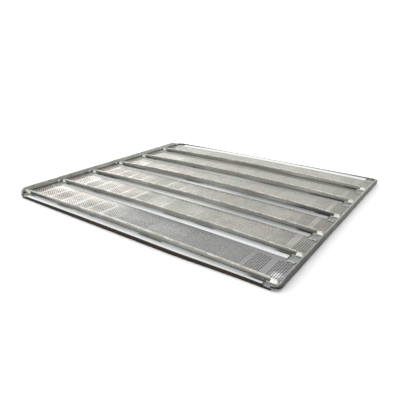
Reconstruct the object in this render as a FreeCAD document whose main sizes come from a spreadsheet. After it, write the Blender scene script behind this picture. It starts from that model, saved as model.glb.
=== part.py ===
import FreeCAD, Part
import os
import Sketcher

# Baguette tray: six perforated channel pans side by side between two bent side bars.
# X runs along the channels, Y from the front rail to the back rail, Z up.
# The origin is the centre of the tray's footprint, on the plane that it stands on.

doc = FreeCAD.newDocument("baguette_tray")
dims = doc.addObject("Spreadsheet::Sheet", "dims")

driving = {
    "trayLength": 675,       # over the outer faces of the side bars
    "trayWidth": 620,        # front skirt to back upstand
    "channelPitch": 100,     # one lip to the next
    "ledgeDepth": 17,        # plain strip in front of every lip
    "sheet": 1.2,            # thickness of the folded sheet
    "floorTop": 5.5,         # pan floors and bracket plates
    "ledgeTop": 7,
    "floorCrown": 3,         # rise of pan floors and ledges at mid length
    "frontCrown": 2,         # rise of the front rail's ledge
    "lipTop": 16.5,          # top of the hem at the ends of a lip
    "lipInset": 22,          # bar's outer face to the end of a lip
    "hemHeight": 3.2,
    "hemThickness": 3,
    "hemAhead": 0.9,         # how far the hem stands in front of the lip
    "barWidth": 3,
    "barHeight": 14.5,
    "barEdge": 0.8,          # rounding of the bar's long edges
    "bendRadius": 16,        # outer radius of the bars' bends
    "frontEnd": 7.5,         # top of the bar where it comes round to the front
    "frontTaper": 30,        # length over which the bar's top comes down to the front
    "backTaper": 38,         # length over which it comes down to the back rail's upstand
    "footDepth": 10,         # return flange that each rail stands on
    "upstandTop": 10.5,      # back rail's upstand
    "shelfDepth": 12,        # back rail's shelf under the last ledge
    "bracketReach": 30,      # bar's outer face to the inner end of a bracket
    "bracketFront": 22,      # bracket plate in front of its lip line
    "bracketRear": 7,        # bracket plate behind its lip line
    "flangeWidth": 8,
    "flangeTop": 13.5,
    "flangeAhead": 6,        # flange centre in front of its lip line
    "cornerFlange": 20,      # flange centre from the front or back face, clear of the bend
    "clipWidth": 12,
    "clipHeight": 8.5,
    "clipAhead": 1,          # clip's lower edge in front of its lip line
    "clipLean": 3.2,         # how far the clip leans back over its height
    "clipFoot": 6,
    "hookInset": 12,         # bar's outer face to the hook
    "hookWidth": 15,
    "hookLength": 8,
    "hookOverlap": 2.5,      # hook's hold on the bracket plate
    "rivetRadius": 1.6,
    "rivetClearance": 0.05,
    "rivetZ": 10,
    "headRadius": 3,
    "headTopRadius": 1.8,
    "headHeight": 2,
}
crowns = [5, 5, 6, 8, 6.5, 5]  # rise of each lip at mid length, front to back

for number, crown in enumerate(crowns, start=1):
    driving[f"crownOfPan{number}"] = crown
for row, (name, size) in enumerate(driving.items(), start=1):
    dims.set(f"A{row}", name)
    dims.set(f"B{row}", str(size))
    dims.setAlias(f"B{row}", name)
doc.recompute()

channelCount = len(crowns)
sides = {"left": -1, "right": 1}

frontY = "(-dims.trayWidth / 2)"
backY = "(dims.trayWidth / 2)"
barX = "(dims.trayLength / 2)"
bracketX = f"({barX} - dims.bracketReach)"
lipX = f"({barX} - dims.lipInset)"
bendX = f"({barX} - dims.bendRadius)"
flangeX = f"({barX} - dims.barWidth)"
sheetBottom = "(dims.floorTop - dims.sheet)"
ledgeBottom = "(dims.ledgeTop - dims.sheet)"


def lipY(number):
    return f"({frontY} + dims.ledgeDepth + {number} * dims.channelPitch)"


def sizeOf(expression):
    return float(dims.evalExpression(expression))


def newBody(label):
    body = doc.addObject("PartDesign::Body", label)
    body.Label = label
    return body


def newSketch(body, name, role, offset="0"):
    # a sketch on one of the body's own planes, moved along the plane's normal
    plane = next(feature for feature in body.Origin.OriginFeatures if feature.Role == role)
    sketch = body.newObject("Sketcher::SketchObject", name)
    sketch.AttachmentSupport = [(plane, "")]
    sketch.MapMode = "FlatFace"
    sketch.setExpression(".AttachmentOffset.Base.z", offset)
    return sketch


def constrain(sketch, *terms, expression):
    index = sketch.addConstraint(Sketcher.Constraint(*terms, sizeOf(expression)))
    sketch.setExpression(f"Constraints[{index}]", expression)


def outline(sketch, corners, arcs=None):
    # A closed outline through corners given as pairs of expressions. An entry in arcs
    # makes the edge after that corner an arc: (bulge point as a pair, radius).
    arcs = arcs or {}
    points = [FreeCAD.Vector(sizeOf(across), sizeOf(up), 0) for across, up in corners]
    count = len(points)
    first = sketch.GeometryCount
    starts = []
    for number in range(count):
        here = points[number]
        there = points[(number + 1) % count]
        if number in arcs:
            bulge = arcs[number][0]
            middle = FreeCAD.Vector(sizeOf(bulge[0]), sizeOf(bulge[1]), 0)
            sketch.addGeometry(Part.Arc(here, middle, there), False)
            clockwise = (middle - here).cross(there - middle).z < 0
            starts.append(2 if clockwise else 1)  # a sketch counts every arc's ends anticlockwise
        else:
            sketch.addGeometry(Part.LineSegment(here, there), False)
            starts.append(1)
    for number in range(count):
        edge = first + number
        following = (number + 1) % count
        joined = (edge, 3 - starts[number], first + following, starts[following])
        sketch.addConstraint(Sketcher.Constraint("Coincident", *joined))
        across, up = corners[number]
        constrain(sketch, "DistanceX", -1, 1, edge, starts[number], expression=across)
        constrain(sketch, "DistanceY", -1, 1, edge, starts[number], expression=up)
        if number in arcs:
            constrain(sketch, "Radius", edge, expression=arcs[number][1])


def pad(body, name, sketch, length, reverse=False, bothWays=False):
    feature = body.newObject("PartDesign::Pad", name)
    feature.Profile = sketch
    feature.setExpression("Length", length)
    feature.Reversed = reverse
    feature.Midplane = bothWays
    return feature


def rectangle(low, high):
    return [(low[0], low[1]), (high[0], low[1]), (high[0], high[1]), (low[0], high[1])]


def boreForRivets(body, centres):
    # through holes along X at the height of the rivets
    before = body.Shape.Volume
    sketch = newSketch(body, f"{body.Name}_bores", "YZ_Plane")
    for number, centre in enumerate(centres):
        middle = FreeCAD.Vector(sizeOf(centre), sizeOf("dims.rivetZ"), 0)
        normal = FreeCAD.Vector(0, 0, 1)
        sketch.addGeometry(Part.Circle(middle, normal, sizeOf("dims.rivetRadius")), False)
        constrain(sketch, "DistanceX", -1, 1, number, 3, expression=centre)
        constrain(sketch, "DistanceY", -1, 1, number, 3, expression="dims.rivetZ")
        constrain(sketch, "Radius", number, expression="dims.rivetRadius + dims.rivetClearance")
    pocket = body.newObject("PartDesign::Pocket", f"{body.Name}_drilled")
    pocket.Profile = sketch
    pocket.Type = "ThroughAll"
    pocket.Midplane = True
    doc.recompute()
    if body.Shape.Volume >= before:
        raise RuntimeError(f"the bores of {body.Label} cut nothing")


def flangeY(number):
    if number == 0:
        return f"({frontY} + dims.cornerFlange)"
    if number == channelCount:
        return f"({backY} - dims.cornerFlange)"
    return f"({lipY(number)} - dims.flangeAhead)"


def archedStrip(body, name, halfLength, low, high, start, depth):
    # A strip along X, padded back from start by depth. Its lower and upper edges are given
    # as (height at the ends, rise at mid length), and a rise of None is a straight edge.
    sketch = newSketch(body, f"{body.Name}_{name}_face", "XZ_Plane", f"-{start}")
    arcs = {}
    for corner, (height, crown) in ((0, low), (2, high)):
        if crown is not None:
            radius = f"({halfLength} * {halfLength} + {crown} * {crown}) / (2 * {crown})"
            arcs[corner] = (("0", f"{height} + {crown}"), radius)
    outline(sketch, rectangle((f"-{halfLength}", low[0]), (halfLength, high[0])), arcs)
    pad(body, f"{body.Name}_{name}", sketch, depth, reverse=True)


def buildPan(number):
    # bowed floor, step and rear ledge, flat end floors under the bars, lip and hem
    body = newBody(f"pan_{number}")
    lip = lipY(number - 1)
    nextLip = lipY(number)
    step = f"({nextLip} - dims.ledgeDepth)"
    bow = "dims.floorCrown"
    crown = f"dims.crownOfPan{number}"
    floorDepth = "dims.channelPitch - dims.ledgeDepth + dims.sheet"
    hemLow = "(dims.lipTop - dims.hemHeight)"
    archedStrip(body, "floor", bracketX, (sheetBottom, bow), ("dims.floorTop", bow), lip, floorDepth)
    archedStrip(body, "step", bracketX, (sheetBottom, bow), ("dims.ledgeTop", bow), step, "dims.sheet")
    archedStrip(body, "ledge", bracketX, (ledgeBottom, bow), ("dims.ledgeTop", bow), step, "dims.ledgeDepth")
    ends = newSketch(body, f"{body.Name}_ends_plan", "XY_Plane", sheetBottom)
    for sign in sides.values():
        outline(ends, rectangle(
            (f"{sign} * {bracketX}", f"{lip} + dims.bracketRear"),
            (f"{sign} * {barX}", f"{nextLip} - dims.bracketFront"),
        ))
    pad(body, f"{body.Name}_ends", ends, "dims.sheet")
    hemMiddle = "(dims.lipTop - dims.hemHeight / 2)"
    archedStrip(body, "lip", lipX, ("dims.floorTop", None), (hemMiddle, crown), lip, "dims.sheet")
    hemFront = f"({lip} - dims.hemAhead)"
    archedStrip(body, "hem", lipX, (hemLow, crown), ("dims.lipTop", crown), hemFront, "dims.hemThickness")


def buildFrontRail():
    # skirt and foot along the whole front, with a bowed ledge between the corner brackets
    body = newBody("front_rail")
    skirtBack = f"({frontY} + dims.sheet)"
    footBack = f"({frontY} + dims.footDepth)"
    section = newSketch(body, "front_rail_section", "YZ_Plane")
    outline(section, [
        (frontY, "0"),
        (footBack, "0"),
        (footBack, "dims.sheet"),
        (skirtBack, "dims.sheet"),
        (skirtBack, sheetBottom),
        (frontY, sheetBottom),
    ])
    pad(body, "front_rail_skirt", section, f"2 * {bendX}", bothWays=True)
    bow = "dims.frontCrown"
    ledgeTop = ("dims.ledgeTop", bow)
    archedStrip(body, "face", bracketX, (sheetBottom, None), ledgeTop, frontY, "dims.sheet")
    archedStrip(body, "ledge", bracketX, (ledgeBottom, bow), ledgeTop, frontY, "dims.ledgeDepth")


def buildBackRail():
    # upstand and foot, with a bowed shelf under the last pan's ledge
    body = newBody("back_rail")
    upstandFront = f"({backY} - dims.sheet)"
    footFront = f"({backY} - dims.footDepth)"
    section = newSketch(body, "back_rail_section", "YZ_Plane")
    outline(section, [
        (backY, "0"),
        (footFront, "0"),
        (footFront, "dims.sheet"),
        (upstandFront, "dims.sheet"),
        (upstandFront, "dims.upstandTop"),
        (backY, "dims.upstandTop"),
    ])
    pad(body, "back_rail_upstand", section, f"2 * {bendX}", bothWays=True)
    bow = "dims.floorCrown"
    shelfFront = f"({lipY(channelCount)} - dims.shelfDepth)"
    shelfLow = (f"({ledgeBottom} - dims.sheet)", bow)
    shelfDepth = f"{upstandFront} - {shelfFront}"
    archedStrip(body, "shelf", bracketX, shelfLow, (ledgeBottom, bow), shelfFront, shelfDepth)


def buildSideBar(side, sign):
    # a flat bar on edge, bent round both corners, rounded along its length, tapered at its ends
    body = newBody(f"side_bar_{side}")
    endX = f"{sign} * {bendX}"
    outerX = f"{sign} * {barX}"
    innerX = f"{sign} * {flangeX}"
    innerRadius = "(dims.bendRadius - dims.barWidth)"
    corners = [
        (endX, frontY),
        (outerX, f"{frontY} + dims.bendRadius"),
        (outerX, f"{backY} - dims.bendRadius"),
        (endX, backY),
        (endX, f"{backY} - dims.barWidth"),
        (innerX, f"{backY} - dims.bendRadius"),
        (innerX, f"{frontY} + dims.bendRadius"),
        (endX, f"{frontY} + dims.barWidth"),
    ]
    arcs = {}
    for corner, face, direction, radius in (
        (0, frontY, 1, "dims.bendRadius"),
        (2, backY, -1, "dims.bendRadius"),
        (4, backY, -1, innerRadius),
        (6, frontY, 1, innerRadius),
    ):
        bulge = (
            f"{sign} * ({bendX} + {radius} * sqrt(0.5))",
            f"{face} + {direction} * (dims.bendRadius - {radius} * sqrt(0.5))",
        )
        arcs[corner] = (bulge, radius)
    plan = newSketch(body, f"{body.Name}_plan", "XY_Plane", "dims.floorTop")
    outline(plan, corners, arcs)
    bar = pad(body, f"{body.Name}_bent", plan, "dims.barHeight")
    doc.recompute()
    edges = []
    for index, edge in enumerate(bar.Shape.Edges, start=1):
        level = abs(edge.Vertexes[0].Z - edge.Vertexes[-1].Z) < 0.01
        alongEnd = all(abs(vertex.X - sizeOf(endX)) < 0.01 for vertex in edge.Vertexes)
        if level and not alongEnd:
            edges.append(f"Edge{index}")
    rounded = body.newObject("PartDesign::Fillet", f"{body.Name}_rounded")
    rounded.Base = (bar, edges)
    rounded.setExpression("Radius", "dims.barEdge")
    taperEnds(body)
    boreForRivets(body, [flangeY(number) for number in range(channelCount + 1)])


def taperEnds(body):
    # takes the bar's top down in arcs, level at the top in front and level at the foot behind
    top = "(dims.floorTop + dims.barHeight)"
    section = newSketch(body, f"{body.Name}_tapers", "YZ_Plane")
    for face, direction, low, length, rounding in (
        (frontY, 1, "dims.frontEnd", "dims.frontTaper", 1),
        (backY, -1, "dims.upstandTop", "dims.backTaper", -1),
    ):
        drop = f"({top} - {low})"
        radius = f"(({length} * {length} + {drop} * {drop}) / (2 * {drop}))"
        start = f"({face} + {direction} * {length})"
        outside = f"({face} - {direction} * dims.sheet)"
        above = f"({top} + dims.sheet)"
        sag = f"({radius} - sqrt({radius} * {radius} - {length} * {length} / 4))"
        level = top if rounding > 0 else low
        bulge = (f"({face} + {start}) / 2", f"{level} - {rounding} * {sag}")
        corners = [(outside, low), (face, low), (start, top), (start, above), (outside, above)]
        outline(section, corners, {1: (bulge, radius)})
    pocket = body.newObject("PartDesign::Pocket", f"{body.Name}_tapered")
    pocket.Profile = section
    pocket.Type = "ThroughAll"
    pocket.Midplane = True
    doc.recompute()


def buildBracket(side, sign, number):
    # a plate under the bar with an upturned flange riveted to the bar's inner face
    places = {0: "front", channelCount: "back"}
    body = newBody(f"bracket_{side}_{places.get(number, number)}")
    plateFront = f"({lipY(number)} - dims.bracketFront)"
    plateRear = f"({lipY(number)} + dims.bracketRear)"
    if number == 0:
        plateFront = frontY
    if number == channelCount:
        plateRear = f"({backY} - dims.sheet)"
    plate = newSketch(body, f"{body.Name}_plate", "XY_Plane", sheetBottom)
    outline(plate, rectangle((f"{sign} * {bracketX}", plateFront), (f"{sign} * {barX}", plateRear)))
    flat = pad(body, f"{body.Name}_flat", plate, "dims.sheet")
    if number in places:
        corner = plateFront if number == 0 else plateRear
        roundCorner(body, flat, f"{sign} * {barX}", corner)
    upright = newSketch(body, f"{body.Name}_upright", "XY_Plane", sheetBottom)
    outline(upright, rectangle(
        (f"{sign} * ({flangeX} - dims.sheet)", f"{flangeY(number)} - dims.flangeWidth / 2"),
        (f"{sign} * {flangeX}", f"{flangeY(number)} + dims.flangeWidth / 2"),
    ))
    pad(body, f"{body.Name}_flange", upright, f"dims.flangeTop - {sheetBottom}")
    doc.recompute()
    boreForRivets(body, [flangeY(number)])


def roundCorner(body, base, across, along):
    doc.recompute()
    for index, edge in enumerate(base.Shape.Edges, start=1):
        onCorner = [
            abs(vertex.X - sizeOf(across)) < 0.01 and abs(vertex.Y - sizeOf(along)) < 0.01
            for vertex in edge.Vertexes
        ]
        if all(onCorner):
            rounded = body.newObject("PartDesign::Fillet", f"{body.Name}_corner")
            rounded.Base = (base, [f"Edge{index}"])
            rounded.setExpression("Radius", "dims.bendRadius")


def buildClip(side, sign, number):
    # a leaning strip on a foot, closing the end of a pan's lip
    body = newBody(f"lip_clip_{side}_{number}")
    lip = lipY(number - 1)
    low = f"({lip} - dims.clipAhead)"
    high = f"({low} + dims.clipLean)"
    top = "(dims.floorTop + dims.clipHeight)"
    footTop = "(dims.floorTop + dims.sheet)"
    profile = newSketch(body, f"{body.Name}_profile", "YZ_Plane", f"{sign} * {lipX}")
    outline(profile, [
        (low, "dims.floorTop"),
        (f"{lip} + dims.clipFoot", "dims.floorTop"),
        (f"{lip} + dims.clipFoot", footTop),
        (f"{low} + 2 * dims.sheet", footTop),
        (f"{high} + dims.sheet", top),
        (high, top),
    ])
    pad(body, f"{body.Name}_strip", profile, "dims.clipWidth", reverse=sign < 0)


def group(label, pieces):
    compound = doc.addObject("Part::Compound", label)
    compound.Label = label
    compound.Links = pieces


def buildHooks(side, sign):
    # flat tongues that hold the rear corners of the pans down on the brackets
    hooks = []
    for number in range(1, channelCount + 1):
        hook = doc.addObject("Part::Box", f"hook_{side}_{number}")
        hook.setExpression("Length", "dims.hookWidth")
        hook.setExpression("Width", "dims.hookLength")
        hook.setExpression("Height", "dims.sheet")
        middleX = f"{sign} * ({barX} - dims.hookInset - dims.hookWidth / 2)"
        hook.setExpression("Placement.Base.x", f"{middleX} - dims.hookWidth / 2")
        rear = f"{lipY(number)} - dims.bracketFront + dims.hookOverlap"
        hook.setExpression("Placement.Base.y", f"{rear} - dims.hookLength")
        hook.setExpression("Placement.Base.z", "dims.floorTop")
        hooks.append(hook)
    group(f"pan_hooks_{side}", hooks)


def buildRivets(side, sign):
    # shanks flush with the bar's outer face, heads on the bracket flanges
    rivets = []
    inward = FreeCAD.Rotation(FreeCAD.Vector(0, 1, 0), -90 * sign)
    for number in range(channelCount + 1):
        shank = doc.addObject("Part::Cylinder", f"shank_{side}_{number}")
        shank.setExpression("Radius", "dims.rivetRadius")
        shank.setExpression("Height", "dims.barWidth + dims.sheet")
        head = doc.addObject("Part::Cone", f"head_{side}_{number}")
        head.setExpression("Radius1", "dims.headRadius")
        head.setExpression("Radius2", "dims.headTopRadius")
        head.setExpression("Height", "dims.headHeight")
        starts = {shank: barX, head: f"({flangeX} - dims.sheet)"}
        for piece, start in starts.items():
            piece.Placement = FreeCAD.Placement(FreeCAD.Vector(), inward)
            piece.setExpression("Placement.Base.x", f"{sign} * {start}")
            piece.setExpression("Placement.Base.y", flangeY(number))
            piece.setExpression("Placement.Base.z", "dims.rivetZ")
        rivet = doc.addObject("Part::Fuse", f"rivet_{side}_{number}")
        rivet.Base = shank
        rivet.Tool = head
        rivets.append(rivet)
    group(f"bar_rivets_{side}", rivets)


def writeParts():
    doc.recompute()
    failed = [thing.Name for thing in doc.Objects if {"Invalid", "Error"} & set(thing.State)]
    if failed:
        raise RuntimeError(f"failed to recompute: {failed}")
    nodes = [thing for thing in doc.Objects if thing.TypeId in ("PartDesign::Body", "Part::Compound")]
    for node in nodes:
        if node.Shape.isNull() or not node.Shape.isValid():
            raise RuntimeError(f"{node.Label} has no valid shape")
    os.makedirs("parts", exist_ok=True)
    for node in nodes:
        node.Shape.exportStep(f"parts/{node.Label}.step")
        print(f"{node.Label}: {len(node.Shape.Solids)} solid(s), {node.Shape.Volume:.0f} mm3")


buildFrontRail()
buildBackRail()
for panNumber in range(1, channelCount + 1):
    buildPan(panNumber)
for sideName, sideSign in sides.items():
    buildSideBar(sideName, sideSign)
    for place in range(channelCount + 1):
        buildBracket(sideName, sideSign, place)
    for panNumber in range(1, channelCount + 1):
        buildClip(sideName, sideSign, panNumber)
    buildHooks(sideName, sideSign)
    buildRivets(sideName, sideSign)
writeParts()
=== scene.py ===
import math
import random

import bmesh
import bpy
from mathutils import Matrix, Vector


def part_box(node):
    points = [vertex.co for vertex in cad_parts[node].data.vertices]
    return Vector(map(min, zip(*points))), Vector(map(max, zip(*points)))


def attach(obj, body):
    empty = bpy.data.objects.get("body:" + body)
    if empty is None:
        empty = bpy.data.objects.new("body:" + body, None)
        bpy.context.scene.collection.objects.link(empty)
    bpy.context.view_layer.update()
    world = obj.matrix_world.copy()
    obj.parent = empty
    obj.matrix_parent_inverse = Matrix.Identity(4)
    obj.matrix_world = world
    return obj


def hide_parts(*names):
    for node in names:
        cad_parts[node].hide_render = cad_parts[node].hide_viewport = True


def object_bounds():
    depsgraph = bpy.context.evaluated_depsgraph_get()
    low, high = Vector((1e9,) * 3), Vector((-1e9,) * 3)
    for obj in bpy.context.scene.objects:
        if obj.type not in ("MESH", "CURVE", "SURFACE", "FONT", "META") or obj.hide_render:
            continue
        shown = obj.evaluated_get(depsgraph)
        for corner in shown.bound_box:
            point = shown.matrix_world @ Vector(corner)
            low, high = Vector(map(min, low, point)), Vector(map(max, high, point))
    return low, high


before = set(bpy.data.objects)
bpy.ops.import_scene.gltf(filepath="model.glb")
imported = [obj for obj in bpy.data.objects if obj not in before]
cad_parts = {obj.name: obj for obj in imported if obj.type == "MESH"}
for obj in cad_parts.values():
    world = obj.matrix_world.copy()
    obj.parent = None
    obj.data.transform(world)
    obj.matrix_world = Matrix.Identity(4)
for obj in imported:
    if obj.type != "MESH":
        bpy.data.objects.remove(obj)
cadLow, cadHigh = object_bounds()
mm = 0.001
sides = {"left": -1, "right": 1}
channelCount = 6
random.seed(7)


def boxOf(node):
    # a node's lowest and highest corners, in millimetres
    low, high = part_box(node)
    return low / mm, high / mm


panLow, panHigh = boxOf("pan_1")
nextHigh = boxOf("pan_2")[1]
plateLow = boxOf("bracket_right_1")[0]
railLow, railHigh = boxOf("front_rail")
upstandHigh = boxOf("back_rail")[1]
clipLow = boxOf("lip_clip_right_1")[0]
barLow, barHigh = boxOf("side_bar_right")

# the folds that every sheet shares, in millimetres
folds = {
    "sheet": 1.2,
    "hemAhead": 0.9,
    "hemHeight": 3.2,
    "hemThickness": 3.0,
    "ledge": 17.0,
    "floorTop": 5.5,
    "ledgeTop": 7.0,
    "lipEnds": 16.5,       # top of a lip at its two ends
    "floorRise": 3.0,      # bow of floors and ledges at mid length
    "frontRise": 2.0,      # bow of the front rail's ledge
}
# the floors' holes stand in blocks, with a plain cross band between one block and the next
blocks = {
    "pitch": 42.9,
    "firstBand": -304.8,   # centre of the first plain band
}
pitch = nextHigh.y - panHigh.y
firstLip = panLow.y + folds["hemAhead"]
ledgeEnd = plateLow.x          # half length of ledges
lipEnd = clipLow.x             # half length of lips
floorMid = folds["floorTop"] - folds["sheet"] / 2
ledgeMid = folds["ledgeTop"] - folds["sheet"] / 2
print("frame read: channel pitch", round(pitch, 2), "mm")


class Value:
    # a node socket that takes part in sums; each operator adds its Math node
    def __init__(self, tree, socket):
        self.tree = tree
        self.socket = socket

    def calc(self, operation, *terms, clamp=False):
        node = self.tree.nodes.new("ShaderNodeMath")
        node.operation = operation
        node.use_clamp = clamp
        for slot, term in zip(node.inputs, terms):
            if isinstance(term, Value):
                self.tree.links.new(term.socket, slot)
            else:
                slot.default_value = term
        return Value(self.tree, node.outputs[0])

    def __add__(self, other):
        return self.calc("ADD", self, other)

    def __radd__(self, other):
        return self.calc("ADD", other, self)

    def __sub__(self, other):
        return self.calc("SUBTRACT", self, other)

    def __rsub__(self, other):
        return self.calc("SUBTRACT", other, self)

    def __mul__(self, other):
        return self.calc("MULTIPLY", self, other)

    def __rmul__(self, other):
        return self.calc("MULTIPLY", other, self)

    def __truediv__(self, other):
        return self.calc("DIVIDE", self, other)

    def wave(self):
        return self.calc("SINE", self)

    def fraction(self):
        return self.calc("FRACT", self)

    def whole(self):
        return self.calc("FLOOR", self)

    def size(self):
        return self.calc("ABSOLUTE", self)

    def between(self, low, high):
        # 0 below low, 1 above high, smooth in between
        node = self.tree.nodes.new("ShaderNodeMapRange")
        node.interpolation_type = "SMOOTHSTEP"
        self.tree.links.new(self.socket, node.inputs["Value"])
        node.inputs["From Min"].default_value = low
        node.inputs["From Max"].default_value = high
        return Value(self.tree, node.outputs["Result"])


class Finish:
    # one material with the pieces that every metal here needs
    def __init__(self, name):
        self.material = bpy.data.materials.new(name)
        self.material.use_nodes = True
        self.tree = self.material.node_tree
        self.shader = self.tree.nodes["Principled BSDF"]
        place = self.tree.nodes.new("ShaderNodeTexCoord")
        self.place = Value(self.tree, place.outputs["Object"])
        split = self.add("ShaderNodeSeparateXYZ", {}, {"Vector": self.place}, None)
        self.x = Value(self.tree, split.outputs["X"])
        self.y = Value(self.tree, split.outputs["Y"])
        self.z = Value(self.tree, split.outputs["Z"])

    def feed(self, slot, value):
        if isinstance(value, Value):
            self.tree.links.new(value.socket, slot)
        else:
            slot.default_value = value

    def add(self, kind, settings, inputs, output=0):
        # any node: its settings first, then what its sockets take
        node = self.tree.nodes.new(kind)
        for name, value in settings.items():
            setattr(node, name, value)
        for name, value in inputs.items():
            self.feed(node.inputs[name], value)
        if output is None:
            return node
        return Value(self.tree, node.outputs[output])

    def noise(self, scale, detail=3.0, stretch=(1, 1, 1), roughness=0.55, shift=(0, 0, 0)):
        spread = self.add("ShaderNodeMapping", {}, {
            "Vector": self.place, "Location": shift, "Scale": stretch,
        })
        return self.add("ShaderNodeTexNoise", {}, {
            "Vector": spread, "Scale": scale, "Detail": detail, "Roughness": roughness,
        })

    def mix(self, factor, first, second, blend="MIX"):
        node = self.add("ShaderNodeMix", {"data_type": "RGBA", "blend_type": blend}, {}, None)
        self.feed(node.inputs[0], factor)
        for slot, colour in ((node.inputs[6], first), (node.inputs[7], second)):
            self.feed(slot, colour if isinstance(colour, Value) else (*colour, 1))
        return Value(self.tree, node.outputs[2])

    def channels(self):
        # how many channels back from the first lip, with the part of the last one
        return (self.y / mm - firstLip) / pitch

    def patch(self, **spans):
        # 1 in one part of the tray and 0 elsewhere. Along each axis, in metres, it comes on between
        # the first two values, which may run backwards, and goes off between the last two
        whole = 1
        for axis, span in spans.items():
            along = getattr(self, axis)
            part = along.between(*sorted(span[:2]))
            if span[0] > span[1]:
                part = 1 - part
            if len(span) > 2:
                part = part * (1 - along.between(*span[2:]))
            whole = part * whole
        return whole

    def brightnessShift(self, patches):
        # how much lighter or darker the metal is painted, summed over its patches; some patches are painted
        # light and shade
        return sum(much * self.patch(**where) for much, where in patches)

    def grey(self, value):
        # a plain number as a colour, for tinting
        return self.add("ShaderNodeCombineColor", {}, {"Red": value, "Green": value, "Blue": value})

    def bump(self, height, depth):
        # height runs from 0 to 1, depth is its real size in metres
        return self.add("ShaderNodeBump", {}, {"Height": height, "Distance": depth, "Strength": 1.0})

    def set(self, **inputs):
        names = {
            "colour": "Base Color",
            "roughness": "Roughness",
            "metallic": "Metallic",
            "normal": "Normal",
        }
        for name, value in inputs.items():
            if name == "colour" and not isinstance(value, Value):
                value = (*value, 1)
            self.feed(self.shader.inputs[names.get(name, name)], value)
        return self.material


def agedMetal(name, look):
    # brushed metal with broad stains, fine grain and small pits
    f = Finish(name)
    patches = f.noise(look["patchScale"], 4.0)
    clouds = f.noise(look["patchScale"] * 3.7, 3.0, shift=(3, 1, 0))
    grain = f.noise(look["grainScale"], 2.0, stretch=look["grain"])
    specks = f.noise(900, 2.0).between(0.66, 0.74)
    colour = f.mix(patches.between(0.38, 0.66), look["clean"], look["stained"])
    colour = f.mix(clouds.between(0.45, 0.75) * look["deep"], colour, look["burntAndShade"])
    shade = 1 - look["grainDepth"] * (grain - 0.5) - 0.25 * specks
    colour = f.mix(1.0, colour, f.grey(shade), "MULTIPLY")
    rough = look["rough"] + look["roughSpread"] * (patches - 0.5) + 0.12 * (grain - 0.5)
    relief = f.bump(0.7 * grain + 0.3 * patches - 0.5 * specks, look["relief"])
    return f.set(colour=colour, roughness=rough, metallic=look["metallic"], normal=relief)


barLook = {
    "clean": (0.38, 0.405, 0.37),
    "stained": (0.24, 0.255, 0.23),
    "burntAndShade": (0.06, 0.052, 0.04),
    "metallic": 0.3,
    "rough": 0.5,
}
# the bar's outer face: a darker copy of the bar's steel, painted shade
shadedOuterBarLook = {
    "clean": (0.125, 0.132, 0.12),
    "stained": (0.062, 0.063, 0.056),
    "burntAndShade": (0.009, 0.008, 0.006),
    "metallic": 0.2,
    "rough": 0.6,
}
# the bar's rounded inner top edge: a lighter copy, painted highlight
highlitEdgeBarLook = {
    "clean": (0.62, 0.63, 0.58),
    "stained": (0.42, 0.42, 0.37),
    "burntAndShade": (0.10, 0.09, 0.07),
    "metallic": 0.4,
    "rough": 0.35,
}
bracketLook = {
    "clean": (0.31, 0.325, 0.305),
    "stained": (0.22, 0.232, 0.215),
    "burntAndShade": (0.12, 0.11, 0.09),
    "deep": 0.35,
    "patchScale": 34,
    "grainScale": 260,
    "grain": (1, 6, 1),
    "grainDepth": 0.25,
    "rough": 0.5,
    "roughSpread": 0.2,
    "relief": 0.00012,
    "metallic": 0.4,
}
clipLook = {
    "clean": (0.92, 0.92, 0.86),
    "stained": (0.72, 0.73, 0.66),
    "burntAndShade": (0.30, 0.27, 0.20),
    "deep": 0.5,
    "patchScale": 60,
    "grainScale": 300,
    "grain": (6, 1, 1),
    "grainDepth": 0.15,
    "rough": 0.3,
    "roughSpread": 0.15,
    "relief": 0.00008,
    "metallic": 0.2,
}
hookLook = dict(bracketLook, clean=(0.42, 0.44, 0.40), stained=(0.27, 0.28, 0.25), rough=0.45)
rivetLook = dict(clipLook, clean=(0.8, 0.8, 0.76), stained=(0.5, 0.5, 0.46), rough=0.35)
# the hem's lighter colour, against the darker lip face, is a painted highlight along the fold
hemLook = {
    "clean": (0.55, 0.54, 0.50),
    "stained": (0.38, 0.37, 0.335),
    "burntAndShade": (0.17, 0.145, 0.11),
    "deep": 0.6,
    "patchScale": 42,
    "grainScale": 340,
    "grain": (0.15, 4, 4),
    "grainDepth": 0.3,
    "rough": 0.32,
    "roughSpread": 0.2,
    "relief": 0.00007,
    "metallic": 0.5,
}


barPaintedLight = {
    "patches": [
        (0.2, {"x": (0.1, -0.1)}),     # painted light: the left bar lighter
        (-0.3, {"x": (0.1, 0.2)}),     # painted shade: the right bar darker
    ],
    "shadeBand": (1.5, 5.5),  # millimetres above the bar's lower edge, where the painted shade along that edge ends
}


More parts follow.
